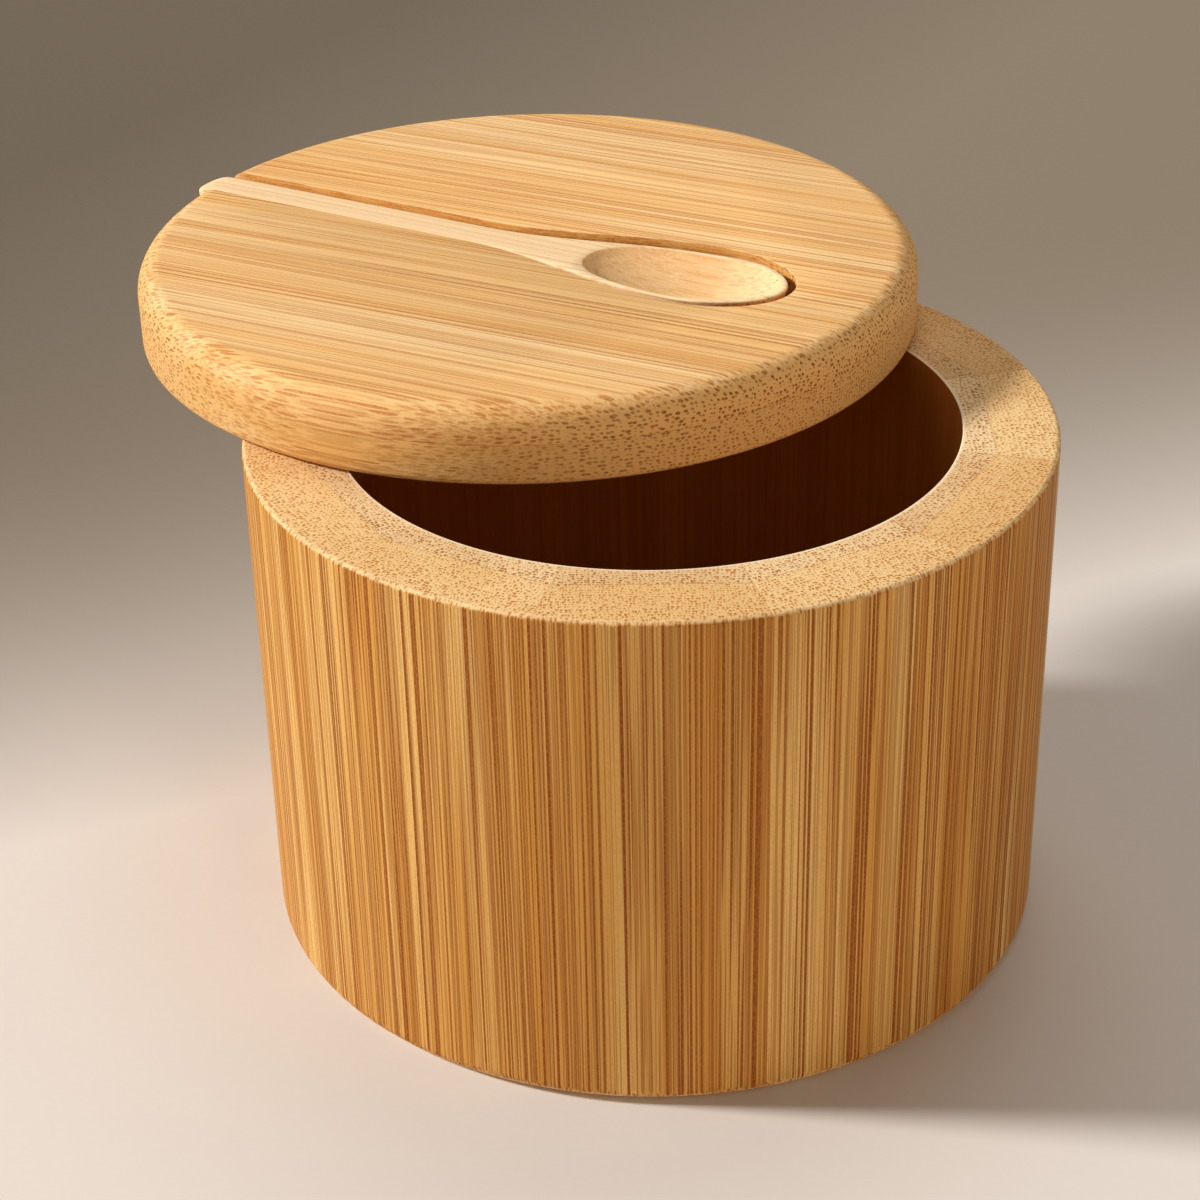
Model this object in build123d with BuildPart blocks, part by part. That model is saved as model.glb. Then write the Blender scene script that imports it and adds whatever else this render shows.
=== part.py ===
from build123d import *
import os

os.makedirs("parts", exist_ok=True)

# All sizes are in millimetres and degrees. The jar stands on Z = 0 with its axis on Z.

# Jar wall: staves glued edge to edge, turned round outside and inside
body_height = 59.0
bore_diameter = 68.0
foot_chamfer = 1.2
rim_chamfer = 0.5
bore_chamfer = 0.4

# Each stave is two strips, glued flat to each other and measured at mid-width
stave_count = 12
seam_azimuth = -45.0
inner_strip_thickness = 2.9
outer_strip_thickness = 7.6

# Floor disc, let into a rebate under the wall
floor_thickness = 6.0
floor_seat_width = 1.6

# Swivel pivot: a steel pin pressed into the wall, its head kept between the lid's plies
pivot_inset = 4.5
pivot_azimuth = 49.6
pin_diameter = 4.0
pin_grip_length = 14.0
pin_hole_relief = 1.0
pin_point = 0.5
pin_head_diameter = 8.0
pin_head_thickness = 1.2
pin_head_clearance = 0.1
pin_head_side_clearance = 0.3
bush_diameter = 6.6
bush_running_clearance = 0.05
washer_diameter = 7.6
washer_bore_clearance = 0.1
washer_thickness = 0.3

# Lid: two plies glued face to face, shown swung open by lid_swing about the pivot
lid_overhang = 1.1
lid_lower_ply = 4.75
lid_upper_ply = 4.15
lid_top_rounding = 2.9
lid_bottom_chamfer = 0.7
lid_swing = 47.6

# Spoon: lies along a diameter of the lid, its handle end just past the lid's edge
spoon_azimuth = 19.0
spoon_length = 80.5
spoon_end_overhang = 1.6
spoon_drop = 0.4
handle_end_width = 4.6
handle_neck_width = 4.8
handle_thickness = 2.6
handle_end_upturn = 0.8
handle_end_taper = 5.0
neck_length = 29.3
neck_handle_pull = 10.5
neck_bowl_pull = 10.5
bowl_width = 13.6
bowl_tip_length = 10.9
bowl_depth = 4.7
bowl_side_height = 1.4
bowl_tip_depth = 1.7
bowl_heel_length = 8.4
hollow_depth = 3.2
hollow_rim = 0.6
hollow_back_length = 14.5
spoon_edge_chamfer = 0.3

# Recess in the lid that takes the spoon
handle_clearance = 0.85
bowl_clearance = 1.5
bowl_tip_clearance = 0.9
seat_clearance = 0.1
pocket_clearance = 0.3

# Worked out from the sizes above
bore_radius = bore_diameter / 2
glue_line_distance = bore_radius + inner_strip_thickness
body_radius = glue_line_distance + outer_strip_thickness
pivot_radius = body_radius - pivot_inset
floor_radius = bore_radius + floor_seat_width
stave_angle = 360.0 / stave_count
lid_radius = body_radius + lid_overhang
lid_diameter = 2 * lid_radius
lid_thickness = lid_lower_ply + lid_upper_ply
lid_underside = body_height + washer_thickness
head_pocket_depth = pin_head_thickness + 2 * pin_head_clearance
bush_length = lid_lower_ply - head_pocket_depth
pin_length = pin_grip_length + washer_thickness + bush_length + pin_head_clearance

spoon_end = -(lid_radius + spoon_end_overhang)
bowl_tip = spoon_end + spoon_length
bowl_middle = bowl_tip - bowl_tip_length
neck_start = bowl_middle - neck_length
bowl_heel = bowl_middle - bowl_heel_length
bowl_half_width = bowl_width / 2
carving_height = (bowl_half_width**2 + bowl_side_height**2 - bowl_depth**2) / (
    2 * (bowl_depth - bowl_side_height)
)
hollow_half_width = bowl_half_width - hollow_rim
hollowing_height = (hollow_half_width**2 - hollow_depth**2) / (2 * hollow_depth)
pocket_start = neck_start - pocket_clearance
handle_channel_depth = spoon_drop + handle_thickness + seat_clearance
bowl_pocket_depth = spoon_drop + bowl_depth + pocket_clearance

# The closed lid is centred on the jar, and turns about the pivot to its open place
pivot = Vector(pivot_radius, 0, 0).rotate(Axis.Z, pivot_azimuth)
lid_centre = pivot - pivot.rotate(Axis.Z, -lid_swing)
spoon_direction = Vector(1, 0, 0).rotate(Axis.Z, spoon_azimuth - lid_swing)
lid_plane = Plane(
    origin=(lid_centre.X, lid_centre.Y, lid_underside),
    x_dir=spoon_direction,
    z_dir=(0, 0, 1),
)
lid_top_plane = lid_plane.offset(lid_thickness)
spoon_plane = lid_plane.offset(lid_thickness - spoon_drop)
spoon_side_plane = Plane(
    origin=spoon_plane.origin,
    x_dir=spoon_plane.x_dir,
    z_dir=-spoon_plane.y_dir,
)
lid_pivot = lid_plane.to_local_coords(Vector(pivot.X, pivot.Y, lid_underside))
pivot_on_rim = Plane(origin=(pivot.X, pivot.Y, body_height), z_dir=(0, 0, 1))
pivot_under_lid = pivot_on_rim.offset(washer_thickness)


def wall_section():
    """Half section of the turned wall, with the rebate for the floor at its foot."""
    with BuildSketch() as section:
        with BuildLine():
            Polyline(
                (floor_radius, 0),
                (body_radius, 0),
                (body_radius, body_height),
                (bore_radius, body_height),
                (bore_radius, floor_thickness),
                (floor_radius, floor_thickness),
                close=True,
            )
        make_face()
        outside = section.vertices().group_by(Axis.X)[-1].sort_by(Axis.Y)
        chamfer(outside[0], foot_chamfer)
        outside_top = section.vertices().group_by(Axis.Y)[-1].sort_by(Axis.X)[-1]
        chamfer(outside_top, rim_chamfer)
        inside_top = section.vertices().group_by(Axis.Y)[-1].sort_by(Axis.X)[0]
        chamfer(inside_top, bore_chamfer)
    return section.sketch


def spoon_outline(handle_gap=0.0, bowl_gap=0.0, tip_gap=0.0, end_gap=0.0):
    """Plan of the spoon, or with gaps the plan of the recess round it.

    X runs from the handle's end to the bowl's tip, with the lid's centre at 0.
    """
    end_half = handle_end_width / 2 + handle_gap
    neck_half = handle_neck_width / 2 + handle_gap
    bowl_half = bowl_width / 2 + bowl_gap
    end_centre = spoon_end - end_gap + end_half
    with BuildSketch() as outline:
        with BuildLine():
            CenterArc((end_centre, 0), end_half, start_angle=90, arc_size=90)
            Line((end_centre, end_half), (neck_start, neck_half))
            Bezier(
                (neck_start, neck_half),
                (neck_start + neck_handle_pull, neck_half),
                (bowl_middle - neck_bowl_pull, bowl_half),
                (bowl_middle, bowl_half),
            )
            EllipticalCenterArc(
                (bowl_middle, 0),
                x_radius=bowl_tip_length + tip_gap,
                y_radius=bowl_half,
                arc_size=90,
            )
            mirror(about=Plane.XZ)
        make_face()
    return outline.sketch


# Wall staves, each an outer and an inner strip with a flat glue line between them
wall = wall_section()
for index in range(stave_count):
    start = seam_azimuth + index * stave_angle
    outward = Vector(1, 0, 0).rotate(Axis.Z, start + stave_angle / 2)
    glue_plane = Plane(origin=outward * glue_line_distance, z_dir=outward)
    seam_plane = Plane.XZ.rotated((0, 0, start))
    for layer, side in (("outer", Keep.TOP), ("inner", Keep.BOTTOM)):
        with BuildPart() as stave:
            with BuildSketch(seam_plane):
                add(wall)
            revolve(axis=Axis.Z, revolution_arc=stave_angle)
            split(bisect_by=glue_plane, keep=side)
            with BuildSketch(pivot_on_rim):
                Circle(pin_diameter / 2)
            extrude(amount=-(pin_grip_length + pin_hole_relief), mode=Mode.SUBTRACT)
        name = f"{layer}_stave_{index + 1:02d}"
        stave.part.label = name
        export_step(stave.part, f"parts/{name}.step")

# Floor disc, flush with the wall's foot
with BuildPart() as floor_disc:
    with BuildSketch():
        Circle(floor_radius)
    extrude(amount=floor_thickness)
floor_disc.part.label = "floor_disc"
export_step(floor_disc.part, "parts/floor_disc.step")

# Pivot pin: shank in the wall and through the bush, flat head above the bush
with BuildPart() as pivot_pin:
    with BuildSketch(pivot_on_rim.offset(-pin_grip_length)):
        Circle(pin_diameter / 2)
    extrude(amount=pin_length)
    chamfer(pivot_pin.edges().sort_by(Axis.Z)[0], pin_point)
    with BuildSketch(pivot_on_rim.offset(pin_length - pin_grip_length)):
        Circle(pin_head_diameter / 2)
    extrude(amount=pin_head_thickness)
pivot_pin.part.label = "pivot_pin"
export_step(pivot_pin.part, "parts/pivot_pin.step")

# Thrust washer that the lid slides on
with BuildPart() as pivot_washer:
    with BuildSketch(pivot_on_rim):
        Circle(washer_diameter / 2)
        Circle(pin_diameter / 2 + washer_bore_clearance, mode=Mode.SUBTRACT)
    extrude(amount=washer_thickness)
pivot_washer.part.label = "pivot_washer"
export_step(pivot_washer.part, "parts/pivot_washer.step")

# Bush pressed into the lid's lower ply, running on the pin
with BuildPart() as pivot_bush:
    with BuildSketch(pivot_under_lid):
        Circle(bush_diameter / 2)
        Circle(pin_diameter / 2 + bush_running_clearance, mode=Mode.SUBTRACT)
    extrude(amount=bush_length)
pivot_bush.part.label = "pivot_bush"
export_step(pivot_bush.part, "parts/pivot_bush.step")

# Lower ply of the lid: bush hole, head pocket and the bottom of the bowl's pocket
with BuildPart() as lid_lower:
    with BuildSketch(lid_plane):
        Circle(lid_radius)
    extrude(amount=lid_lower_ply)
    chamfer(lid_lower.edges().sort_by(Axis.Z)[0], lid_bottom_chamfer)
    with Locations(lid_plane.offset(lid_lower_ply).location):
        with Locations((lid_pivot.X, lid_pivot.Y)):
            CounterBoreHole(
                radius=bush_diameter / 2,
                counter_bore_radius=pin_head_diameter / 2 + pin_head_side_clearance,
                counter_bore_depth=head_pocket_depth,
                depth=lid_lower_ply,
            )
    with BuildSketch(lid_plane.offset(lid_lower_ply)):
        add(spoon_outline(handle_clearance, bowl_clearance, bowl_tip_clearance))
        with Locations((pocket_start, 0)):
            Rectangle(lid_diameter, lid_diameter, align=(Align.MAX, Align.CENTER), mode=Mode.SUBTRACT)
    extrude(amount=lid_upper_ply - bowl_pocket_depth, mode=Mode.SUBTRACT)
lid_lower.part.label = "lid_lower_ply"
export_step(lid_lower.part, "parts/lid_lower_ply.step")

# Upper ply of the lid: bullnose edge and the recess that takes the spoon
with BuildPart() as lid_upper:
    with BuildSketch(lid_plane.offset(lid_lower_ply)):
        Circle(lid_radius)
    extrude(amount=lid_upper_ply)
    fillet(lid_upper.edges().sort_by(Axis.Z)[-1], lid_top_rounding)
    with BuildSketch(lid_top_plane):
        add(spoon_outline(handle_clearance, bowl_clearance, bowl_tip_clearance, lid_radius))
    extrude(amount=-handle_channel_depth, mode=Mode.SUBTRACT)
    with BuildSketch(lid_top_plane):
        add(spoon_outline(handle_clearance, bowl_clearance, bowl_tip_clearance))
        with Locations((pocket_start, 0)):
            Rectangle(lid_diameter, lid_diameter, align=(Align.MAX, Align.CENTER), mode=Mode.SUBTRACT)
    extrude(amount=-lid_upper_ply, mode=Mode.SUBTRACT)
lid_upper.part.label = "lid_upper_ply"
export_step(lid_upper.part, "parts/lid_upper_ply.step")

# Spoon: sawn to its plan, its underside carved round, its edge eased, its bowl hollowed out
with BuildPart() as spoon:
    with BuildSketch(spoon_plane):
        add(spoon_outline())
    extrude(amount=-bowl_depth)
    with BuildSketch(spoon_side_plane):
        with BuildLine():
            Polyline(
                (spoon_end, carving_height),
                (spoon_end, handle_end_upturn - handle_thickness),
                (spoon_end + handle_end_taper, -handle_thickness),
                (neck_start, -handle_thickness),
                (bowl_heel, -bowl_depth),
                (bowl_middle, -bowl_depth),
            )
            TangentArc((bowl_middle, -bowl_depth), (bowl_tip, -bowl_tip_depth), tangent=(1, 0))
            Polyline(
                (bowl_tip, -bowl_tip_depth),
                (bowl_tip, carving_height),
                (spoon_end, carving_height),
            )
        make_face()
    carving_axis = Axis(spoon_plane.offset(carving_height).origin, spoon_plane.x_dir)
    revolve(axis=carving_axis, mode=Mode.INTERSECT)
    chamfer(spoon.faces().sort_by(Axis.Z)[-1].edges(), spoon_edge_chamfer)
    with BuildSketch(spoon_side_plane):
        with BuildLine():
            TangentArc(
                (bowl_middle, -hollow_depth),
                (bowl_middle - hollow_back_length, 0),
                tangent=(-1, 0),
            )
            TangentArc((bowl_middle, -hollow_depth), (bowl_tip - hollow_rim, 0), tangent=(1, 0))
            Polyline(
                (bowl_tip - hollow_rim, 0),
                (bowl_tip - hollow_rim, hollowing_height),
                (bowl_middle - hollow_back_length, hollowing_height),
                (bowl_middle - hollow_back_length, 0),
            )
        make_face()
    hollowing_axis = Axis(spoon_plane.offset(hollowing_height).origin, spoon_plane.x_dir)
    revolve(axis=hollowing_axis, mode=Mode.SUBTRACT)
spoon.part.label = "spoon"
export_step(spoon.part, "parts/spoon.step")
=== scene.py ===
import functools
import math

import bmesh
import bpy
from mathutils import Matrix, Vector


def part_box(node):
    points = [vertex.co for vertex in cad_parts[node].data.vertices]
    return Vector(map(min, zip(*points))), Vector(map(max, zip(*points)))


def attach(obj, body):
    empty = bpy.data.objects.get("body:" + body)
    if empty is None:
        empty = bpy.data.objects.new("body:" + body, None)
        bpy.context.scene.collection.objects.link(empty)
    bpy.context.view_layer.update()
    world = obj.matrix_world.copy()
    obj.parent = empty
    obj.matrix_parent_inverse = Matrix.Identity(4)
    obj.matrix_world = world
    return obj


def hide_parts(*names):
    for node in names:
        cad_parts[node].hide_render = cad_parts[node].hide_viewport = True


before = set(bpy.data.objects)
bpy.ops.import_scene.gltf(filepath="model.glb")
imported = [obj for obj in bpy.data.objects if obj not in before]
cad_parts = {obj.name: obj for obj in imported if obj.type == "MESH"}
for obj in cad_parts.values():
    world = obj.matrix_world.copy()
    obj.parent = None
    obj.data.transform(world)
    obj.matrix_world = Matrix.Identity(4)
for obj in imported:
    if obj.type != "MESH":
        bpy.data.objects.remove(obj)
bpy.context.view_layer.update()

MM = 0.001


LOW, HIGH = 0, 1
X, Z = 0, 2


def cad_end(node, end, axis):
    """Where a CAD node ends along an axis, on its low or high side, to the nearest 0.01 mm."""
    return round(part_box(node)[end][axis], 5)


# The lamps are aimed at the middle of the jar
JAR_MIDDLE = Vector((0.0, 0.0, 30 * MM))

# Jar wall: twelve staves, each an outer and an inner strip with a flat glue line between them
BODY_RADIUS = cad_end("outer_stave_02", HIGH, X)
BORE_RADIUS = 34.0 * MM
INNER_STRIP = 2.9 * MM
GLUE_LINE = BORE_RADIUS + INNER_STRIP
FLOOR_RADIUS = cad_end("floor_disc", HIGH, X)
FLOOR_THICKNESS = cad_end("floor_disc", HIGH, Z)
BODY_HEIGHT = cad_end("outer_stave_02", HIGH, Z)
STAVES = 12
STAVE_ANGLE = math.tau / STAVES
FIRST_STAVE = math.radians(-30.0)
FOOT_ROUNDING = 1.8 * MM
RIM_ROUNDING = 0.6 * MM
BORE_ROUNDING = 0.12 * MM
# The bore's edge, and a little of the rim's outer edge, are painted pale: a painted highlight, with rubbed
# wear
BORE_EDGE_WEAR_AND_HIGHLIGHT = 0.35 * MM
RIM_WEAR_AND_HIGHLIGHT = 0.15
SEAM_GLUE = 0.05 * MM
SEAM_GLUE_FADE = 0.13 * MM
RING_GLUE = 0.07 * MM

# Lid, swung open about its pivot
LID_RADIUS = 45.58 * MM
LID_UNDERSIDE = cad_end("lid_lower_ply", LOW, Z)
PLY_SEAM = cad_end("lid_upper_ply", LOW, Z)
LID_TOP = cad_end("lid_upper_ply", HIGH, Z)
TOP_ROUNDING = 2.9 * MM
BOTTOM_ROUNDING = 0.8 * MM
SEAM_ROUNDING = 0.08 * MM
PIVOT = Vector((25.925, 30.461, 0.0)) * MM
LID_CENTRE = Vector((-14.051, 29.065, 0.0)) * MM
BUSH_RADIUS = 3.3 * MM
HEAD_POCKET_RADIUS = 4.3 * MM
HEAD_POCKET_DEPTH = 1.4 * MM

# Spoon, in a frame with x from the handle's end to the bowl's tip and the lid's centre at 0
SPOON_AZIMUTH = math.radians(-28.6)
SPOON_TOP = cad_end("spoon", HIGH, Z)
SPOON_END = -47.18 * MM
NECK_START = -6.9 * MM
BOWL_MIDDLE = 22.4 * MM
BOWL_TIP = 33.3 * MM
HANDLE_END_HALF = 2.3 * MM
HANDLE_NECK_HALF = 2.4 * MM
BOWL_HALF = 6.8 * MM
NECK_PULL = 10.5 * MM
HANDLE_THICKNESS = 2.6 * MM
END_SQUARENESS = 2 / 2.1
END_DROOP = 0.9 * MM
DROOP_LENGTH = 3.2 * MM
END_LIFT = 0.4 * MM
TIP_RISE = 0.38 * MM
LIFT_START = 20.0 * MM
LIFT_END = 30.0 * MM
BOWL_DEPTH = 4.7 * MM
EDGE_ROUNDING = 0.4 * MM
BOWL_EDGE_ROUNDING = 0.2 * MM
HOLLOW_DEPTH = 3.2 * MM
HOLLOW_RIM = 0.6 * MM
HOLLOW_BACK_LENGTH = 14.5 * MM
HOLLOW_SQUARENESS = 2.4

# Recess for the spoon
HANDLE_GAP = 0.85 * MM
BOWL_GAP = 1.5 * MM
TIP_GAP = 0.9 * MM
CHANNEL_FLOOR = 65.1 * MM
POCKET_FLOOR = 62.8 * MM
EASED_EDGE = 0.14 * MM
# The recess's eased edge is painted pale: a painted highlight, with rubbed wear
RECESS_WEAR_AND_HIGHLIGHT = 0.4
TURNED_EDGE_CUT = 0.2
# Cutters reach past the surfaces that they open, so that no two faces lie in one plane
CUTTER_MARGIN = 2 * MM
CUTTER_TOP = LID_TOP + 5 * MM
# Two places closer than this are the same one
TINY = 0.01 * MM


def linear(colour):
    """An sRGB hex colour as linear red, green, blue and alpha."""
    parts = [int(colour[i:i + 2], 16) / 255 for i in (1, 3, 5)]
    return [p / 12.92 if p <= 0.04045 else ((p + 0.055) / 1.055) ** 2.4 for p in parts] + [1.0]


# Camera at the photograph's viewing angle
YAW, PITCH, ROLL = -0.0220, 0.5200, -0.0220
CAMERA_PLACE = (0.0, -0.267804, 0.189521)
FOCAL_LENGTH = 81.46
camera_data = bpy.data.cameras.new("camera")
camera_data.lens = FOCAL_LENGTH
camera_data.sensor_width = 36.0
camera_data.clip_start = 0.01
camera = bpy.data.objects.new("camera", camera_data)
bpy.context.scene.collection.objects.link(camera)
forward = Vector((math.sin(YAW) * math.cos(PITCH), math.cos(YAW) * math.cos(PITCH), -math.sin(PITCH)))
level_right = forward.cross(Vector((0, 0, 1))).normalized()
level_up = level_right.cross(forward)
right = math.cos(ROLL) * level_right + math.sin(ROLL) * level_up
up = math.cos(ROLL) * level_up - math.sin(ROLL) * level_right
camera_turn = Matrix((right, up, -forward)).transposed()
camera.matrix_world = Matrix.Translation(CAMERA_PLACE) @ camera_turn.to_4x4()
bpy.context.scene.camera = camera
bpy.context.scene.view_settings.view_transform = "Standard"


# Soft studio light: a key lamp on the left, a low fill from the camera's side, one above, an even surround
def lamp(name, azimuth, elevation, distance, size, level, colour):
    """A round lamp aimed at the jar; level is the share of full light it gives a surface facing it."""
    data = bpy.data.lights.new(name, "AREA")
    data.shape = "DISK"
    data.size = size
    data.energy = level * (math.pi * distance) ** 2
    data.color = linear(colour)[:3]
    obj = bpy.data.objects.new(name, data)
    bpy.context.scene.collection.objects.link(obj)
    a, e = math.radians(azimuth), math.radians(elevation)
    towards = Vector((math.cos(a) * math.cos(e), math.sin(a) * math.cos(e), math.sin(e)))
    obj.location = JAR_MIDDLE + towards * distance
    obj.rotation_euler = towards.to_track_quat("Z", "Y").to_euler()


lamp("key_lamp", 175, 29, 6.0, 0.8, 1.28, "#fffaf2")
lamp("fill_lamp", -62, 8, 6.0, 1.3, 0.27, "#ffe9cc")
lamp("overhead_lamp", 80, 65, 2.0, 1.2, 0.24, "#fffaf2")
world = bpy.data.worlds.new("studio")
bpy.context.scene.world = world
world.use_nodes = True
world.node_tree.nodes["Background"].inputs["Color"].default_value = linear("#fff2de")
world.node_tree.nodes["Background"].inputs["Strength"].default_value = 0.2


# Materials
def add(tree, kind, inputs=None, **settings):
    """Adds one node. Inputs are values, hex colours or sockets, by name or position. Gives its outputs."""
    node = tree.nodes.new(kind)
    for key, value in settings.items():
        setattr(node, key, value)
    for key, value in (inputs or {}).items():
        if isinstance(value, bpy.types.NodeSocket):
            tree.links.new(value, node.inputs[key])
        elif isinstance(value, str) and value.startswith("#"):
            node.inputs[key].default_value = linear(value)
        else:
            node.inputs[key].default_value = value
    return node.outputs


def material(name):
    """A new material with its tree and shader node."""
    made = bpy.data.materials.new(name)
    made.use_nodes = True
    return made, made.node_tree, made.node_tree.nodes["Principled BSDF"]


# Each stave shows its own stretch of the culm, this many mm from the one before
STAVE_SHIFT = 37.7


def bamboo(
    name, fibres, tissue, shade, line, cut_tissue, dot, spacing, dot_size, cut_and_shade_colour="#b87a3c", cut_and_shade_strength=0.0,
    line_share=0.8, dot_share=0.85, roughness=0.62, staves=False, skin=None,
):
    """Bamboo, planed or turned, then sanded and oiled: smooth, with a low sheen.

    Dark fibre bundles run through pale tissue. They are lines on tissue where they are cut along, and
    dots on cut_tissue where they are cut across. Both have bands of shade. The cut colour is the darker
    tone that a cutter leaves, and painted shade in recesses and under rims. Its strength, line_share and
    dot_share are strengths from 0 to 1. fibres turns the fibres' direction onto Z. spacing is in mm across
    the fibres, dot_size is a share of it, and skin gives the radii where the bundles are thinnest and
    thickest.
    """
    made, tree, shader = material(name)
    node = functools.partial(add, tree)
    coordinates = node("ShaderNodeTexCoord")
    place = coordinates["Object"]
    stave = node("ShaderNodeAttribute", attribute_name="stave")["Fac"]
    if staves:
        # Each stave is turned to lie along X
        away = {0: stave, 1: -STAVE_ANGLE, 2: -FIRST_STAVE}
        turn = node("ShaderNodeMath", away, operation="MULTIPLY_ADD")[0]
        place = node("ShaderNodeVectorRotate", {"Vector": place, "Angle": turn}, rotation_type="Z_AXIS")[0]
    grain = node("ShaderNodeMapping", {"Vector": place, "Rotation": fibres, "Scale": (1000, 1000, 1000)})[0]
    apart = node("ShaderNodeMath", {0: stave, 1: STAVE_SHIFT}, operation="MULTIPLY")[0]
    apart = node("ShaderNodeCombineXYZ", {1: apart})[0]
    grain = node("ShaderNodeVectorMath", {0: grain, 1: apart}, operation="ADD")[0]

    # The fibres wander by up to 0.8 mm in 8 mm across and 180 mm along
    slow = node("ShaderNodeVectorMath", {0: grain, 1: (1 / 8, 1 / 8, 1 / 180)}, operation="MULTIPLY")[0]
    wander = node("ShaderNodeTexNoise", {"Vector": slow, "Scale": 1.0, "Detail": 1.0})["Color"]
    wandering = {0: wander, 1: (1.6, 1.6, 0.0), 2: grain}
    grain = node("ShaderNodeVectorMath", wandering, operation="MULTIPLY_ADD")[0]

    # Fibre bundles, one to a cell, each with a darkness of its own
    per_mm = (1 / spacing[0], 1 / spacing[1], 0)
    cells = node("ShaderNodeVectorMath", {0: grain, 1: per_mm}, operation="MULTIPLY")[0]
    scatter = {"Vector": cells, "Scale": 1.0, "Randomness": 0.7}
    bundle = node("ShaderNodeTexVoronoi", scatter, voronoi_dimensions="2D")
    tone = node("ShaderNodeSeparateColor", {0: bundle["Color"]})[0]
    size = node("ShaderNodeMapRange", {0: tone, 3: 0.6 * dot_size, 4: 1.4 * dot_size})[0]
    if skin:
        reach = node("ShaderNodeVectorMath", {0: place, 1: (1, 1, 0)}, operation="MULTIPLY")[0]
        reach = node("ShaderNodeVectorMath", {0: reach}, operation="LENGTH")["Value"]
        dense = node("ShaderNodeMapRange", {0: reach, 1: skin[0], 2: skin[1], 3: 0.85, 4: 1.15})[0]
        size = node("ShaderNodeMath", {0: size, 1: dense}, operation="MULTIPLY")[0]
    edge = node("ShaderNodeMath", {0: bundle["Distance"], 1: size}, operation="SUBTRACT")[0]
    dots = node("ShaderNodeMapRange", {0: edge, 1: 0.06, 2: -0.04}, interpolation_type="SMOOTHSTEP")[0]
    tone = node("ShaderNodeMapRange", {0: tone, 3: 0.5, 4: 1.0})[0]
    dots = node("ShaderNodeMath", {0: dots, 1: tone}, operation="MULTIPLY")[0]

    # Finer and broader patterns along the fibres, by their width and length in mm
    masks = {}
    for kind, width, length, detail, low, high in (
        ("hairs", 0.2, 60, 2.0, 0.50, 0.58),
        ("streaks", 0.7, 150, 4.0, 0.53, 0.60),
        ("bands", 3.5, 160, 2.0, 0.38, 0.65),
        ("tones", 14.0, 120, 1.0, 0.40, 0.62),
        ("pores", 0.14, 0.4, 2.0, 0.42, 0.62),
    ):
        per_mm = (1 / width, 1 / width, 1 / length)
        scaled = node("ShaderNodeVectorMath", {0: grain, 1: per_mm}, operation="MULTIPLY")[0]
        noise = node("ShaderNodeTexNoise", {"Vector": scaled, "Scale": 1.0, "Detail": detail})[0]
        limits = {0: noise, 1: low, 2: high}
        masks[kind] = node("ShaderNodeMapRange", limits, interpolation_type="SMOOTHSTEP")[0]

    # 1 where the surface runs along the fibres, 0 where it cuts across them
    turned_normal = {"Vector": coordinates["Normal"], "Rotation": fibres}
    facing = node("ShaderNodeMapping", turned_normal, vector_type="NORMAL")[0]
    across = node("ShaderNodeSeparateXYZ", {0: facing})[2]
    across = node("ShaderNodeMath", {0: across}, operation="ABSOLUTE")[0]
    along = node("ShaderNodeMapRange", {0: across, 1: 0.75, 2: 0.25}, interpolation_type="SMOOTHSTEP")[0]

    def layered(wood, *layers):
        """The wood's colour with layers over it, each with a mask, a strength and a colour."""
        for mask, strength, layer_colour in layers:
            share = node("ShaderNodeMath", {0: mask, 1: strength}, operation="MULTIPLY")[0]
            wood = node("ShaderNodeMix", {0: share, 6: wood, 7: layer_colour}, data_type="RGBA")[2]
        return wood

    # Each strip has a shade of its own
    strip_tone = node("ShaderNodeTexWhiteNoise", {"W": stave}, noise_dimensions="1D")[0]
    # Marks on the points: painted shade with a cut tone in cuts, a painted highlight with wear on edges
    cut_tone_and_painted_shade = node("ShaderNodeAttribute", attribute_name="cut_tone_and_painted_shade")["Fac"]
    wear_and_highlight = node("ShaderNodeAttribute", attribute_name="worn_edge_and_painted_highlight")["Fac"]
    side = layered(
        tissue, (masks["bands"], 0.7, shade), (masks["tones"], 0.5, shade), (strip_tone, 0.35, shade),
        (cut_tone_and_painted_shade, cut_and_shade_strength, cut_and_shade_colour), (masks["streaks"], 0.4 * line_share, line),
        (masks["hairs"], 0.5 * line_share, line), (dots, line_share, line),
    )
    end = layered(
        cut_tissue, (masks["tones"], 0.2, shade), (strip_tone, 0.35, shade),
        (cut_tone_and_painted_shade, cut_and_shade_strength, cut_and_shade_colour), (dots, dot_share, dot),
    )
    colour = layered(end, (along, 1.0, side), (masks["pores"], 0.3, shade))
    if staves:
        # Thin lines of glue between the staves and between their two strips
        halves = node("ShaderNodeVectorMath", {0: place}, operation="ABSOLUTE")[0]
        across_seam = (math.sin(STAVE_ANGLE / 2), -math.cos(STAVE_ANGLE / 2), 0.0)
        seam = node("ShaderNodeVectorMath", {0: halves, 1: across_seam}, operation="DOT_PRODUCT")["Value"]
        seam = node("ShaderNodeMapRange", {0: seam, 1: SEAM_GLUE_FADE, 2: SEAM_GLUE})[0]
        depth = node("ShaderNodeSeparateXYZ", {0: place})[0]
        glue = node("ShaderNodeMath", {0: depth, 1: GLUE_LINE, 2: RING_GLUE}, operation="COMPARE")[0]
        glue = node("ShaderNodeMath", {0: seam, 1: glue}, operation="MAXIMUM")[0]
        colour = layered(colour, (glue, 0.3, "#b86a24"))
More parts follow.
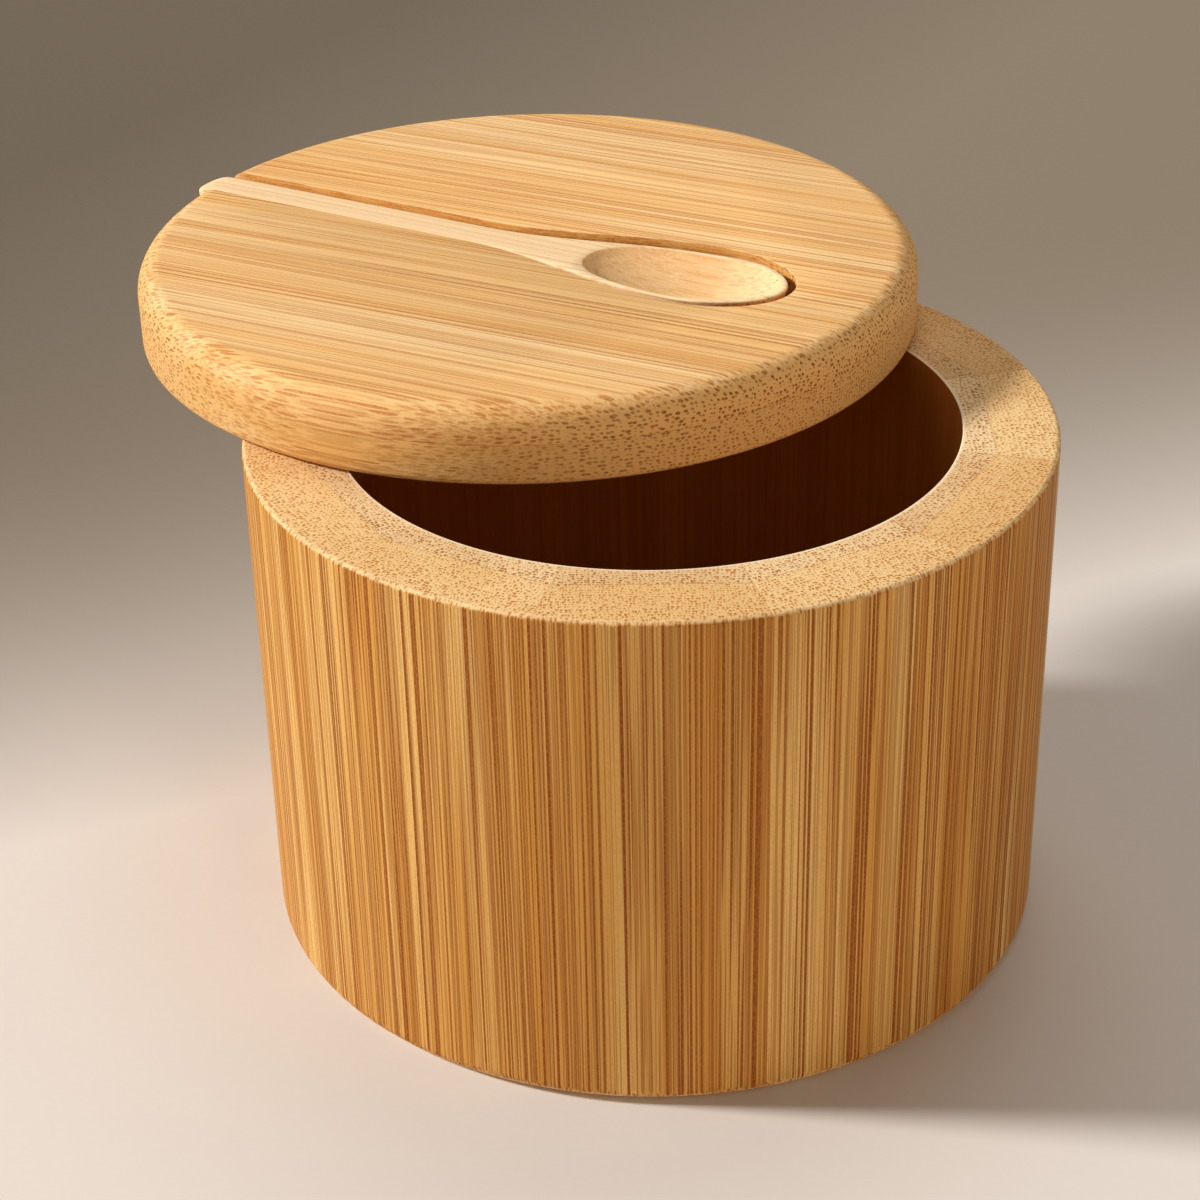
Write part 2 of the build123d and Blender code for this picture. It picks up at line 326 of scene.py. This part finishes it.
    # Rounded edges are painted pale: a painted highlight, with rubbed wear
    colour = layered(colour, (wear_and_highlight, 0.8, "#fff0d2"))
    tree.links.new(colour, shader.inputs["Base Color"])
    sheen = node("ShaderNodeMapRange", {0: masks["pores"], 3: roughness - 0.06, 4: roughness + 0.08})[0]
    tree.links.new(sheen, shader.inputs["Roughness"])
    relief = node("ShaderNodeMath", {0: masks["hairs"], 1: masks["pores"]}, operation="ADD")[0]
    relief = node("ShaderNodeMath", {0: dots, 1: 1.5, 2: relief}, operation="MULTIPLY_ADD")[0]
    bump = node("ShaderNodeBump", {"Strength": 0.4, "Distance": 0.02 * MM, "Height": relief}, invert=True)
    tree.links.new(bump[0], shader.inputs["Normal"])
    shader.inputs["IOR"].default_value = 1.5
    shader.inputs["Specular IOR Level"].default_value = 0.2
    return made


UPRIGHT = (0.0, 0.0, 0.0)


def fibres_along(azimuth):
    """Mapping angles that turn a level direction onto Z."""
    turn = Matrix.Rotation(math.radians(-90), 3, "Y") @ Matrix.Rotation(-azimuth, 3, "Z")
    return turn.to_euler("XYZ")


LID_GRAIN = fibres_along(math.radians(-25))

# Turned from golden culm wood: strong, close lines on the wall and close dots on the rim
wall_outer_bamboo = bamboo(
    "outer_strip_bamboo_turned_and_oiled", UPRIGHT,
    tissue="#efc981", shade="#ca8a34", line="#874000", cut_tissue="#ffe0aa", dot="#bf7a30",
    spacing=(0.47, 0.37), dot_size=0.27, line_share=1.0, dot_share=1.0,
    staves=True, skin=(GLUE_LINE, BODY_RADIUS),
)
# The strip from the inside of the culm: paler, with finer bundles
wall_inner_bamboo = bamboo(
    "inner_strip_bamboo_turned_and_oiled", UPRIGHT,
    tissue="#d09448", shade="#bd7d34", line="#9a5a1c", cut_tissue="#ffe6b8", dot="#b06c2c",
    spacing=(0.45, 0.4), dot_size=0.27, line_share=0.3, dot_share=1.0,
    staves=True, skin=(BORE_RADIUS, GLUE_LINE),
)
# The floor is plain and hardly seen
floor_bamboo = bamboo(
    "floor_disc_bamboo_sanded", fibres_along(math.radians(12)),
    tissue="#d09448", shade="#bd7d34", line="#9a5a1c", cut_tissue="#d9a465", dot="#a86a2b",
    spacing=(0.7, 0.8), dot_size=0.22,
)
# Planed flat: smooth and pale on top with thin lines, dark crisp dots where the edge cuts the fibres
# Its recess is painted darker: painted shade with the tone that the cutter leaves
lid_upper_bamboo = bamboo(
    "upper_ply_bamboo_planed_and_oiled", LID_GRAIN,
    tissue="#fde1b0", shade="#f3c07a", line="#b86a1a", cut_tissue="#e0b478", dot="#7c4410",
    spacing=(0.46, 0.5), dot_size=0.26, cut_and_shade_colour="#d69a48", cut_and_shade_strength=0.85,
    line_share=0.75, dot_share=1.0, roughness=0.6,
)
# The lower ply's bundles are smaller and paler
# Its pocket is painted darker: painted shade with the tone that the cutter leaves
lid_lower_bamboo = bamboo(
    "lower_ply_bamboo_planed_and_oiled", LID_GRAIN,
    tissue="#efca92", shade="#e0ae68", line="#b0702c", cut_tissue="#e4b87e", dot="#8a5018",
    spacing=(0.42, 0.48), dot_size=0.24, cut_and_shade_colour="#cc9240", cut_and_shade_strength=0.8, line_share=0.7, dot_share=0.9,
)
# Carved from a pale strip and sanded until its bundles hardly show
# Its hollow and the outside of its bowl are painted darker: painted shade with the cut tone
spoon_bamboo = bamboo(
    "spoon_bamboo_carved_and_sanded", fibres_along(SPOON_AZIMUTH),
    tissue="#ffe9c4", shade="#fadcb0", line="#d09048", cut_tissue="#f6d4a0", dot="#8a5422",
    spacing=(0.5, 0.5), dot_size=0.2, cut_and_shade_colour="#dca04e", cut_and_shade_strength=0.55,
    line_share=0.5, dot_share=0.85, roughness=0.6,
)


def metal(name, colour, roughness):
    """A drawn or turned metal, with faint rings from the tool 0.1 mm apart."""
    made, tree, shader = material(name)
    place = add(tree, "ShaderNodeTexCoord")["Object"]
    rings = add(tree, "ShaderNodeVectorMath", {0: place, 1: (300, 300, 10000)}, operation="MULTIPLY")[0]
    noise = add(tree, "ShaderNodeTexNoise", {"Vector": rings, "Scale": 1.0})[0]
    shader.inputs["Base Color"].default_value = linear(colour)
    shader.inputs["Metallic"].default_value = 1.0
    gloss = add(tree, "ShaderNodeMapRange", {0: noise, 3: roughness, 4: roughness + 0.15})[0]
    tree.links.new(gloss, shader.inputs["Roughness"])
    return made


pin_steel = metal("steel_pin_drawn_and_zinc_plated", "#c4c6c8", 0.3)
bush_brass = metal("brass_bush_turned", "#d8b25c", 0.28)


def nylon():
    """Natural nylon, moulded: milky and slightly mottled."""
    made, tree, shader = material("nylon_washer_moulded")
    place = add(tree, "ShaderNodeTexCoord")["Object"]
    mottle = add(tree, "ShaderNodeTexNoise", {"Vector": place, "Scale": 900.0})[0]
    milky = add(tree, "ShaderNodeMix", {0: mottle, 6: "#ebe6da", 7: "#ddd7c8"}, data_type="RGBA")[2]
    tree.links.new(milky, shader.inputs["Base Color"])
    shader.inputs["Roughness"].default_value = 0.5
    return made


washer_nylon = nylon()


# Shapes: points closer than this are merged
SAME_POINT = 0.0001 * MM


def mesh_object(name, points, faces, crease=30.0):
    """An object with a smooth-shaded mesh, sharp where its faces meet at more than the crease angle."""
    mesh = bpy.data.meshes.new(name)
    mesh.from_pydata([tuple(p) for p in points], [], faces)
    shape = bmesh.new()
    shape.from_mesh(mesh)
    bmesh.ops.remove_doubles(shape, verts=shape.verts, dist=SAME_POINT)
    bmesh.ops.recalc_face_normals(shape, faces=shape.faces)
    shape.to_mesh(mesh)
    shape.free()
    obj = bpy.data.objects.new(name, mesh)
    bpy.context.scene.collection.objects.link(obj)
    smooth(obj, crease)
    return obj


def smooth(obj, crease=30.0):
    """Smooth shading with sharp edges past the crease angle."""
    obj.data.polygons.foreach_set("use_smooth", [True] * len(obj.data.polygons))
    obj.data.set_sharp_from_angle(angle=math.radians(crease))


def applied(obj):
    """Turns an object's modifiers into its mesh."""
    depsgraph = bpy.context.evaluated_depsgraph_get()
    mesh = bpy.data.meshes.new_from_object(obj.evaluated_get(depsgraph), depsgraph=depsgraph)
    obj.modifiers.clear()
    obj.data = mesh


def mark(obj, kind, amount):
    """Stores a share of a mark on each point: wear with painted highlight, cut tone with painted shade."""
    values = [float(amount(point.co)) for point in obj.data.vertices]
    obj.data.attributes.new(kind, "FLOAT", "POINT").data.foreach_set("value", values)


def finish_piece(obj, surface, slot, body, *nodes):
    """Gives a piece its material and body, and hides the CAD nodes that it stands for."""
    obj.data.materials.clear()
    obj.data.materials.append(surface)
    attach(obj, body)
    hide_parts(*nodes)


def corner(centre, radius, start, steps=8):
    """Points of a quarter round, anticlockwise from the start angle in degrees."""
    angles = [math.radians(start + 90 * i / steps) for i in range(steps + 1)]
    return [(centre[0] + radius * math.cos(a), centre[1] + radius * math.sin(a)) for a in angles]


def strip(name, outer, steps=24):
    """One strip of a stave, centred on the X axis: one face is turned, the other is the flat glue line."""
    rings = []
    for step in range(steps + 1):
        angle = STAVE_ANGLE * (step / steps - 0.5)
        glue = GLUE_LINE / math.cos(angle)
        if outer:
            section = [(glue, 0.0)]
            section += corner((BODY_RADIUS - FOOT_ROUNDING, FOOT_ROUNDING), FOOT_ROUNDING, -90)
            section += corner((BODY_RADIUS - RIM_ROUNDING, BODY_HEIGHT - RIM_ROUNDING), RIM_ROUNDING, 0)
            section += [(glue, BODY_HEIGHT)]
        else:
            section = [(FLOOR_RADIUS, 0.0), (glue, 0.0), (glue, BODY_HEIGHT)]
            section += [(BORE_RADIUS + BORE_ROUNDING + BORE_EDGE_WEAR_AND_HIGHLIGHT, BODY_HEIGHT)]
            section += corner((BORE_RADIUS + BORE_ROUNDING, BODY_HEIGHT - BORE_ROUNDING), BORE_ROUNDING, 90)
            section += [(BORE_RADIUS, FLOOR_THICKNESS), (FLOOR_RADIUS, FLOOR_THICKNESS)]
        rings.append([(r * math.cos(angle), r * math.sin(angle), z) for r, z in section])
    count = len(rings[0])
    points = [p for ring in rings for p in ring]
    faces = [
        (a * count + i, a * count + (i + 1) % count, (a + 1) * count + (i + 1) % count, (a + 1) * count + i)
        for a in range(steps) for i in range(count)
    ]
    faces += [tuple(range(count)), tuple(range(steps * count, (steps + 1) * count))]
    return mesh_object(name, points, faces)


def ring_of_staves():
    """A tree that repeats a strip round the jar and numbers the staves."""
    tree = bpy.data.node_groups.new("ring_of_staves", "GeometryNodeTree")
    inputs = (("Strip", "Geometry"), ("Staves", "Int"), ("First stave", "Float"), ("Surface", "Material"))
    for name, kind in inputs:
        tree.interface.new_socket(name, in_out="INPUT", socket_type=f"NodeSocket{kind}")
    tree.interface.new_socket("Ring", in_out="OUTPUT", socket_type="NodeSocketGeometry")
    entry = add(tree, "NodeGroupInput")
    index = add(tree, "GeometryNodeInputIndex")[0]
    places = add(tree, "GeometryNodePoints", {"Count": entry["Staves"]})[0]
    step = add(tree, "ShaderNodeMath", {0: math.tau, 1: entry["Staves"]}, operation="DIVIDE")[0]
    onward = {0: index, 1: step, 2: entry["First stave"]}
    angle = add(tree, "ShaderNodeMath", onward, operation="MULTIPLY_ADD")[0]
    turn = add(tree, "ShaderNodeCombineXYZ", {2: angle})[0]
    copies = add(
        tree, "GeometryNodeInstanceOnPoints", {"Points": places, "Instance": entry["Strip"], "Rotation": turn}
    )[0]
    numbered = add(
        tree, "GeometryNodeStoreNamedAttribute", {"Geometry": copies, "Name": "stave", "Value": index},
        data_type="FLOAT", domain="INSTANCE",
    )[0]
    real = add(tree, "GeometryNodeRealizeInstances", {"Geometry": numbered})[0]
    finished = add(tree, "GeometryNodeSetMaterial", {"Geometry": real, "Material": entry["Surface"]})[0]
    add(tree, "NodeGroupOutput", {0: finished})
    return tree


stave_tree = ring_of_staves()


def rim_wear_and_highlight(p):
    """Painted highlight and wear: full on the bore's upper edge, and a little on the rim's outer edge."""
    radius = math.hypot(p.x, p.y)
    if radius < BORE_RADIUS + 1.1 * BORE_ROUNDING:
        return float(p.z > BODY_HEIGHT - 0.6 * BORE_ROUNDING)
    on_rim = p.z > BODY_HEIGHT - 0.4 * RIM_ROUNDING and radius > BODY_RADIUS - 0.9 * RIM_ROUNDING
    return RIM_WEAR_AND_HIGHLIGHT * on_rim


def wall_strips(name, outer, surface, slot, layer):
    """Twelve strips in a ring, which stand for one layer of the wall."""
    obj = strip(name, outer)
    mark(obj, "worn_edge_and_painted_highlight", rim_wear_and_highlight)
    sockets = stave_tree.interface.items_tree
    inputs = {item.name: item.identifier for item in sockets if item.in_out == "INPUT"}
    modifier = obj.modifiers.new("staves", "NODES")
    modifier.node_group = stave_tree
    modifier[inputs["Staves"]] = STAVES
    modifier[inputs["First stave"]] = FIRST_STAVE
    modifier[inputs["Surface"]] = surface
    applied(obj)
    smooth(obj)
    finish_piece(obj, surface, slot, "jar", *[f"{layer}_stave_{i + 1:02d}" for i in range(STAVES)])


wall_strips("outer_strips", True, wall_outer_bamboo, "wall_outer", "outer")
wall_strips("inner_strips", False, wall_inner_bamboo, "wall_inner", "inner")


def side_of_plan(handle_gap=0.0, bowl_gap=0.0, tip_gap=0.0, end_gap=0.0):
    """Points along one side of the spoon's plan, from handle to tip, or with gaps along its recess."""
    end_half = HANDLE_END_HALF + handle_gap
    neck_half = HANDLE_NECK_HALF + handle_gap
    bowl_half = BOWL_HALF + bowl_gap
    tip_length = BOWL_TIP - BOWL_MIDDLE + tip_gap
    centre = SPOON_END - end_gap + end_half
    steps, neck_steps = 24, 40
    quarter = [math.pi / 2 * i / steps for i in range(steps + 1)]
    side = [
        (centre - end_half * math.cos(a) ** END_SQUARENESS, end_half * math.sin(a) ** END_SQUARENESS)
        for a in quarter
    ]
    side += [
        (centre + (NECK_START - centre) * i / steps, end_half + (neck_half - end_half) * i / steps)
        for i in range(1, steps)
    ]
    # The neck widens into the bowl along a Bezier curve
    for i in range(neck_steps + 1):
        t = i / neck_steps
        a, b, c, d = (1 - t) ** 3, 3 * t * (1 - t) ** 2, 3 * t * t * (1 - t), t ** 3
        side.append((
            a * NECK_START + b * (NECK_START + NECK_PULL) + c * (BOWL_MIDDLE - NECK_PULL) + d * BOWL_MIDDLE,
            (a + b) * neck_half + (c + d) * bowl_half,
        ))
    side += [(BOWL_MIDDLE + tip_length * math.sin(a), bowl_half * math.cos(a)) for a in quarter[1:]]
    return side


on_lid = Matrix.Translation(LID_CENTRE) @ Matrix.Rotation(SPOON_AZIMUTH, 4, "Z")


def prism(name, outline, low, high):
    """A cutter: a plan in the spoon's frame, from one height to another."""
    count = len(outline)
    points = [on_lid @ Vector((x, y, z)) for z in (low, high) for x, y in outline]
    faces = [(i, (i + 1) % count, count + (i + 1) % count, count + i) for i in range(count)]
    faces += [tuple(range(count)), tuple(range(count, 2 * count))]
    return mesh_object(name, points, faces)


def turned(name, centre, profile, segments=288):
    """A disc turned about an upright axis, from a profile of radii and heights that starts and ends flat."""
    points = [
        centre + Vector((r * math.cos(a), r * math.sin(a), z))
        for r, z in profile for a in [math.tau * i / segments for i in range(segments)]
    ]
    faces = [
        (k * segments + i, k * segments + (i + 1) % segments,
         (k + 1) * segments + (i + 1) % segments, (k + 1) * segments + i)
        for k in range(len(profile) - 1) for i in range(segments)
    ]
    top = segments * (len(profile) - 1)
    faces += [tuple(range(segments)), tuple(range(top, top + segments))]
    return mesh_object(name, points, faces)


def cut(obj, *cutters):
    """Cuts pockets into a piece."""
    for cutter in cutters:
        pocket = obj.modifiers.new("pocket", "BOOLEAN")
        pocket.operation = "DIFFERENCE"
        pocket.solver = "EXACT"
        pocket.object = cutter
    applied(obj)
    for cutter in cutters:
        bpy.data.objects.remove(cutter)
    smooth(obj, 35)


def ease_edges(obj, above):
    """Rounds a piece's sharp edges that lie above a height."""
    shape = bmesh.new()
    shape.from_mesh(obj.data)
    edges = [
        edge for edge in shape.edges
        if edge.calc_face_angle(0.0) > math.radians(50) and min(end.co.z for end in edge.verts) > above
    ]
    bmesh.ops.bevel(
        shape, geom=edges, offset=EASED_EDGE, segments=2, profile=0.5, affect="EDGES", clamp_overlap=False
    )
    shape.to_mesh(obj.data)
    shape.free()
    smooth(obj, 35)


# Lid: two plies face to face, with the recess for the spoon
recess_side = side_of_plan(HANDLE_GAP, BOWL_GAP, TIP_GAP, LID_RADIUS)
channel_side = [p for p in recess_side if p[0] < NECK_START + TINY]
channel_plan = channel_side + [(x, -y) for x, y in reversed(channel_side[1:])]
recess_side = side_of_plan(HANDLE_GAP, BOWL_GAP, TIP_GAP)
bowl_side = [p for p in recess_side if p[0] > NECK_START - TINY]
bowl_plan = bowl_side + [(x, -y) for x, y in reversed(bowl_side[:-1])]

lid_upper = turned(
    "lid_upper_ply_bullnosed", LID_CENTRE,
    corner((LID_RADIUS - SEAM_ROUNDING, PLY_SEAM + SEAM_ROUNDING), SEAM_ROUNDING, -90, steps=3)
    + corner((LID_RADIUS - TOP_ROUNDING, LID_TOP - TOP_ROUNDING), TOP_ROUNDING, 0, steps=14),
)
cut(
    lid_upper,
    prism("handle_channel", channel_plan, CHANNEL_FLOOR, CUTTER_TOP),
    prism("bowl_opening", bowl_plan, PLY_SEAM - CUTTER_MARGIN, CUTTER_TOP),
)
ease_edges(lid_upper, CHANNEL_FLOOR + 0.5 * MM)


def from_middle(p):
    """How far a point lies from the lid's axis."""
    return math.hypot(p.x - LID_CENTRE.x, p.y - LID_CENTRE.y)


def lid_cut_tone_and_shade(p):
    """Full painted shade and cut tone in the recess, and a little cut tone on the turned edge."""
    inside = from_middle(p) < LID_RADIUS - TOP_ROUNDING
    if inside and LID_UNDERSIDE + 0.1 * MM < p.z < LID_TOP - 0.9 * EASED_EDGE:
        return 1.0
    return TURNED_EDGE_CUT if from_middle(p) > LID_RADIUS - TOP_ROUNDING / 3 else 0.0


def recess_wear_and_highlight(p):
    """How much painted highlight and wear the rounded edge of the recess gets."""
    inside = from_middle(p) < LID_RADIUS - TOP_ROUNDING
    return RECESS_WEAR_AND_HIGHLIGHT * (inside and LID_TOP - 0.9 * EASED_EDGE < p.z < LID_TOP - 0.1 * EASED_EDGE)


mark(lid_upper, "cut_tone_and_painted_shade", lid_cut_tone_and_shade)
mark(lid_upper, "worn_edge_and_painted_highlight", recess_wear_and_highlight)
finish_piece(lid_upper, lid_upper_bamboo, "lid_upper", "lid", "lid_upper_ply")

lid_lower = turned(
    "lid_lower_ply_pocketed", LID_CENTRE,
    corner((LID_RADIUS - BOTTOM_ROUNDING, LID_UNDERSIDE + BOTTOM_ROUNDING), BOTTOM_ROUNDING, -90)
    + corner((LID_RADIUS - SEAM_ROUNDING, PLY_SEAM - SEAM_ROUNDING), SEAM_ROUNDING, 0, steps=3),
)
past_seam = PLY_SEAM + CUTTER_MARGIN
bush_hole = [(BUSH_RADIUS, LID_UNDERSIDE - CUTTER_MARGIN), (BUSH_RADIUS, past_seam)]
head_pocket = [(HEAD_POCKET_RADIUS, PLY_SEAM - HEAD_POCKET_DEPTH), (HEAD_POCKET_RADIUS, past_seam)]
cut(
    lid_lower,
    prism("bowl_pocket", bowl_plan, POCKET_FLOOR, past_seam),
    turned("bush_hole", PIVOT, bush_hole, segments=64),
    turned("head_pocket", PIVOT, head_pocket, segments=64),
)
mark(lid_lower, "cut_tone_and_painted_shade", lid_cut_tone_and_shade)
finish_piece(lid_lower, lid_lower_bamboo, "lid_lower", "lid", "lid_lower_ply")


# Spoon: carved from one strip
def part_way(x, start, end):
    """0 before the start, 1 after the end and a smooth step between them."""
    share = min(1.0, max(0.0, (x - start) / (end - start)))
    return share * share * (3 - 2 * share)


def edge_rounding(x):
    """Radius of the spoon's upper edge, which is crisper round the bowl."""
    return EDGE_ROUNDING + (BOWL_EDGE_ROUNDING - EDGE_ROUNDING) * part_way(x, NECK_START, BOWL_MIDDLE)


def spoon_top(x):
    """Height of the spoon's upper face over its straight part: low at the handle's end, high at the tip."""
    droop = max(0.0, (SPOON_END + DROOP_LENGTH - x) / DROOP_LENGTH) ** 1.7
    return TIP_RISE * part_way(x, LIFT_START, LIFT_END) - END_DROOP * droop


def spoon_underside(x):
    """How far the spoon's underside lies below its straight upper face."""
    end_centre = SPOON_END + HANDLE_END_HALF
    if x < end_centre:
        share = (1 - min(1.0, (end_centre - x) / HANDLE_END_HALF) ** 5) ** 0.4
        start = END_DROOP + EDGE_ROUNDING
        return start + (HANDLE_THICKNESS - END_LIFT - start) * share
    if x < NECK_START:
        return HANDLE_THICKNESS - END_LIFT * max(0.0, 1 - (x - end_centre) / (6 * MM)) ** 2
    if x < BOWL_MIDDLE:
        t = (x - NECK_START) / (BOWL_MIDDLE - NECK_START)
        return HANDLE_THICKNESS + (BOWL_DEPTH - HANDLE_THICKNESS) * (1 - (1 - t) ** 2) * t ** 0.3
    share = (1 - min(1.0, (x - BOWL_MIDDLE) / (BOWL_TIP - BOWL_MIDDLE)) ** 2.2) ** 0.6
    start = BOWL_EDGE_ROUNDING - TIP_RISE
    return start + (BOWL_DEPTH - start) * share


def share_of_hollow(x, y):
    """How far a place lies from the middle of the bowl to the hollow's edge, where it is 1."""
    ahead = x > 0
    length = BOWL_TIP - BOWL_MIDDLE - HOLLOW_RIM if ahead else HOLLOW_BACK_LENGTH
    power = 2.0 if ahead else HOLLOW_SQUARENESS
    return ((abs(x) / length) ** power + (abs(y) / (BOWL_HALF - HOLLOW_RIM)) ** power) ** (1 / power)


def spoon_points():
    """Points and faces of the spoon: rings underneath, loops over the edge, rows on top, then the bowl."""
    side = side_of_plan()
    side[0] = (side[0][0], 0.0)
    side[-1] = (side[-1][0], 0.0)
    points, faces, rings = [], [], []
    around = 28
    for x, half in side:
        brow = spoon_top(x) - edge_rounding(x)
        if half == 0.0:
            rings.append([len(points)] * (around + 1))
            points.append((x, 0.0, brow))
            continue
        boxy = 3.0 if x < NECK_START else max(2.0, 3.0 - (x - NECK_START) / (BOWL_MIDDLE - NECK_START))
        ring = []
        for k in range(around + 1):
            a = math.pi * k / around
            ring.append(len(points))
            y = half * math.copysign(abs(math.cos(a)) ** (2 / boxy), math.cos(a))
            points.append((x, y, brow - (spoon_underside(x) + brow) * math.sin(a) ** (2 / boxy)))
        rings.append(ring)
    for first, second in zip(rings, rings[1:]):
        for k in range(around):
            faces.append(tuple(dict.fromkeys((first[k], first[k + 1], second[k + 1], second[k]))))

    def next_loop(loop, places):
        fresh = list(range(len(points), len(points) + len(loop)))
        points.extend(places)
        for i in range(len(loop)):
            j = (i + 1) % len(loop)
            faces.append((loop[i], loop[j], fresh[j], fresh[i]))
        return fresh

    # Over the rounded edge, all round
    loop = [ring[0] for ring in rings] + [ring[-1] for ring in reversed(rings[1:-1])]
    flat = [Vector(points[i][:2]) for i in loop]
    along = [(flat[(i + 1) % len(flat)] - flat[i - 1]).normalized() for i in range(len(flat))]
    for step in range(1, 5):
        a = math.pi / 2 * step / 4
        shift, drop = 1 - math.cos(a), 1 - math.sin(a)
        places = [
            spot + Vector((way.y, -way.x)) * shift * edge_rounding(spot.x) for spot, way in zip(flat, along)
        ]
        loop = next_loop(loop, [(p.x, p.y, spoon_top(p.x) - drop * edge_rounding(p.x)) for p in places])

    # Rows across the handle, up to the last one before the hollow
    across = 8
    rows = [[loop[0]] * (across + 1)]
    last = max(i for i, (x, half) in enumerate(side) if x < BOWL_MIDDLE - HOLLOW_BACK_LENGTH - 0.8 * MM)
    for i in range(1, last + 1):
        left, right = loop[i], loop[len(loop) - i]
        row = [left]
        for k in range(1, across):
            spot = Vector(points[left]).lerp(Vector(points[right]), k / across)
            row.append(len(points))
            points.append((spot.x, spot.y, spoon_top(spot.x)))
        rows.append(row + [right])
    for first, second in zip(rows, rows[1:]):
        for k in range(across):
            faces.append(tuple(dict.fromkeys((first[k], first[k + 1], second[k + 1], second[k]))))

    # Loops from the rim of the bowl down into its hollow
    loop = loop[last:len(loop) - last + 1] + rows[last][-2:0:-1]
    centre = Vector((BOWL_MIDDLE, 0.0))
    rays = [Vector(points[i][:2]) - centre for i in loop]
    edge = [ray / share_of_hollow(*ray) for ray in rays]
    for share in (1.0, 0.99, 0.975, 0.955, 0.93, 0.9, 0.86, 0.81, 0.74, 0.66, 0.56, 0.44, 0.3, 0.15, 0.0):
        eased = min(1.0, (1 - share) / 0.05)
        depth = HOLLOW_DEPTH * (1 - share ** 2) ** 0.8 * (0.4 + 0.6 * eased)
        places = [centre + ray * share for ray in edge]
        loop = next_loop(loop, [(p.x, p.y, spoon_top(p.x) - depth) for p in places])
    return points, faces


spoon_local, spoon_faces = spoon_points()
at_top = on_lid @ Matrix.Translation((0, 0, SPOON_TOP))


def spoon_cut_tone_and_shade(p):
    """Painted shade and cut tone: in the hollow, less so near its tip, and under the rim towards the tip."""
    spot = at_top.inverted() @ p
    if spot.z > -HOLLOW_DEPTH - 0.1 * MM and share_of_hollow(spot.x - BOWL_MIDDLE, spot.y) < 0.995:
        return 1.0 - 0.6 * part_way(spot.x, BOWL_MIDDLE - 2 * MM, BOWL_TIP - 2 * MM)
    return part_way(spot.x, LIFT_START, LIFT_END) * (spot.z < spoon_top(spot.x) - 0.9 * BOWL_EDGE_ROUNDING)


spoon = mesh_object("carved_spoon", [at_top @ Vector(p) for p in spoon_local], spoon_faces, crease=40)
mark(spoon, "cut_tone_and_painted_shade", spoon_cut_tone_and_shade)
finish_piece(spoon, spoon_bamboo, "spoon", "spoon", "spoon")

# CAD nodes that keep their shape
for node, surface in (
    ("floor_disc", floor_bamboo), ("pivot_pin", pin_steel),
    ("pivot_bush", bush_brass), ("pivot_washer", washer_nylon),
):
    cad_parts[node].data.materials.clear()
    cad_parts[node].data.materials.append(surface)


def board_with_painted_shade():
    """A flat-painted board: pale in front, painted shade towards the back and its left as in the photograph.
    """
    made, tree, shader = material("board_painted_matt_with_painted_shade")
    place = add(tree, "ShaderNodeTexCoord")["Object"]
    # These grow from 0 at the jar's axis, towards the back and towards the back left
    backwards = {0: place, 1: (-0.4, 1.0, 0.0)}
    back = add(tree, "ShaderNodeVectorMath", backwards, operation="DOT_PRODUCT")["Value"]
    near = add(tree, "ShaderNodeMapRange", {0: back, 1: 185 * MM, 2: 35 * MM})[0]
    near = add(tree, "ShaderNodeMath", {0: near, 1: 3.0}, operation="POWER")[0]
    leftwards = {0: place, 1: (-1.0, 0.6, 0.0)}
    left = add(tree, "ShaderNodeVectorMath", leftwards, operation="DOT_PRODUCT")["Value"]
    left = add(tree, "ShaderNodeMapRange", {0: left, 1: 100 * MM, 2: 260 * MM})[0]
    # Painted shade: the board is made darker towards the back and the back left
    paint_and_shade = add(tree, "ShaderNodeMix", {0: left, 6: "#8a7e71", 7: "#6b6256"}, data_type="RGBA")[2]
    paint_and_shade = add(tree, "ShaderNodeMix", {0: near, 6: paint_and_shade, 7: "#e3dedc"}, data_type="RGBA")[2]
    # The roller's stipple, 1 mm across
    stipple = add(tree, "ShaderNodeTexNoise", {"Vector": place, "Scale": 1000.0, "Detail": 2.0})[0]
    share = add(tree, "ShaderNodeMath", {0: stipple, 1: 0.06}, operation="MULTIPLY")[0]
    paint_and_shade = add(tree, "ShaderNodeMix", {0: share, 6: paint_and_shade, 7: "#b8aa9a"}, data_type="RGBA")[2]
    tree.links.new(paint_and_shade, shader.inputs["Base Color"])
    shader.inputs["Roughness"].default_value = 0.9
    shader.inputs["Specular IOR Level"].default_value = 0.1
    return made


FLOOR_REACH = 20.0
corners = [(x * FLOOR_REACH, y * FLOOR_REACH, 0) for x, y in ((-1, -1), (1, -1), (1, 1), (-1, 1))]
floor = mesh_object("floor", corners, [(0, 1, 2, 3)])
floor.data.materials.append(board_with_painted_shade())
